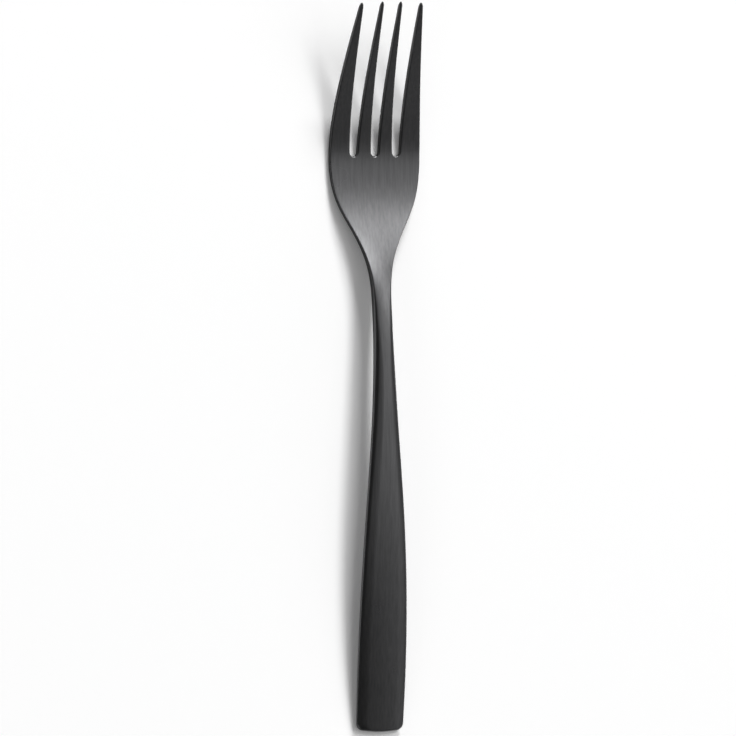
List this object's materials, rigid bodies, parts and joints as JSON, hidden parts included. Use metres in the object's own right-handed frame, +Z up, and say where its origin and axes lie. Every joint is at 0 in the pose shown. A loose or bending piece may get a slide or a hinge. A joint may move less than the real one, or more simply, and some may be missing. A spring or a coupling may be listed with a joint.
{
  "type": "dinner fork",
  "caption": "Slim dinner fork with tapered tines, a dished shoulder, a narrow neck and a flat arched handle that widens to its end, in black brushed steel.",
  "frame": {"origin": "on the table that the fork lies on, under the middle of its length and width", "axes": "+Y from the end of the handle to the points of the tines, +X to the right as seen from above, +Z up from the table"},
  "size_m": [0.0268, 0.205, 0.017],
  "materials": {
    "black_steel": "stainless steel with a thin black vapour-deposited coat, brushed along the fork to a satin sheen"
  },
  "bodies": {
    "root": {"handle_end": "black_steel", "handle": "black_steel", "neck": "black_steel", "head": "black_steel", "tine_inner_right": "black_steel", "tine_inner_left": "black_steel", "tine_outer_right": "black_steel", "tine_outer_left": "black_steel"}
  },
  "joints": []
}
